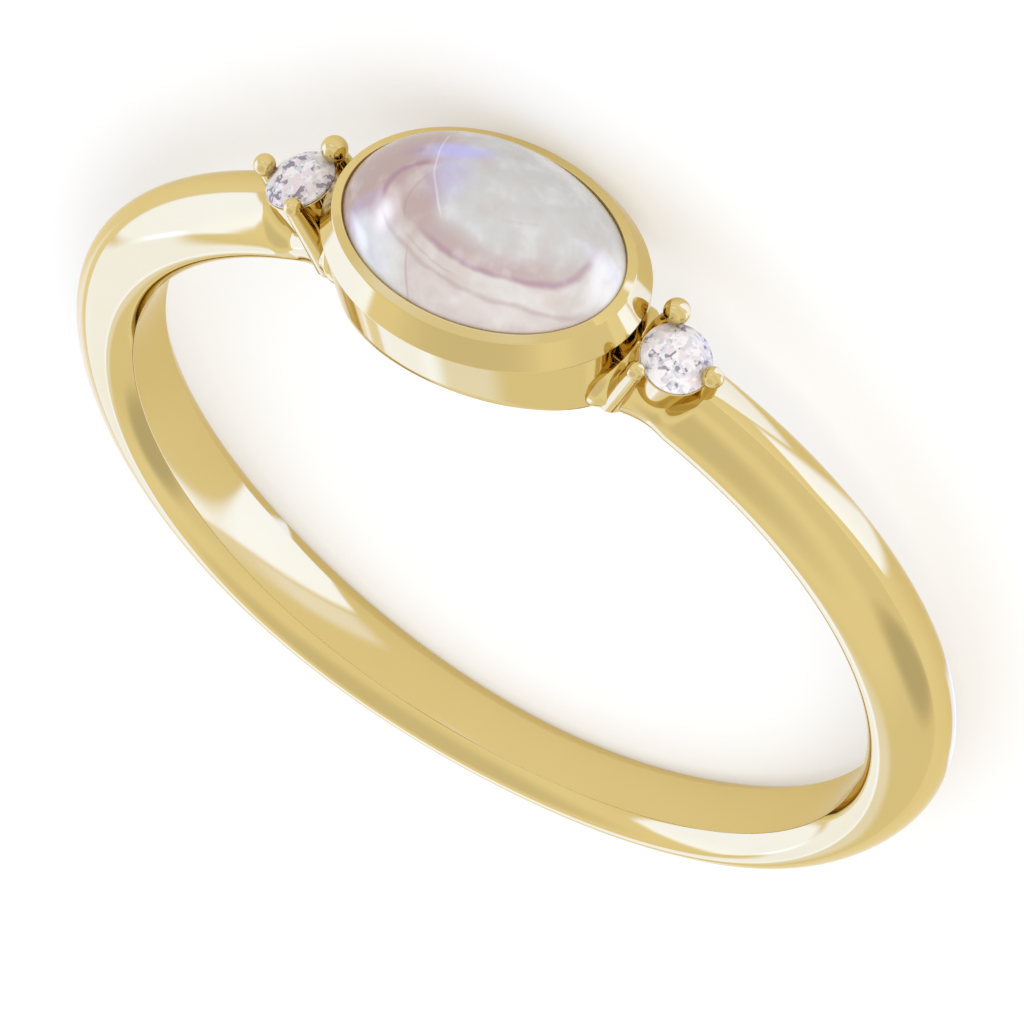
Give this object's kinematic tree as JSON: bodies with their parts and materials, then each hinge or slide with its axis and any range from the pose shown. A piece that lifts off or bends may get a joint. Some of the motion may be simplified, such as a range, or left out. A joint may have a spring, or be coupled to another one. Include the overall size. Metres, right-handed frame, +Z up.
{
  "type": "cabochon ring",
  "caption": "Finger ring with an oval cabochon in a closed bezel between small round brilliants, each in a beaded head, on a domed band",
  "frame": {"origin": "middle of the ring's bounding box in plan, on the surface that the ring rests on", "axes": "+Z up off the surface, and about 5 degrees from the finger's axis; the stones face -Y; the left diamond, as worn and seen from the ring's upper side, is on +X"},
  "size_m": [0.0204, 0.0222, 0.0052],
  "materials": {
    "gold": "mirror-polished yellow gold",
    "moonstone": "polished milky moonstone with a blue-violet sheen",
    "diamond": "polished colourless brilliant"
  },
  "bodies": {
    "root": {"gold_mounting": "gold", "moonstone": "moonstone", "left_diamond": "diamond", "right_diamond": "diamond"}
  },
  "joints": []
}
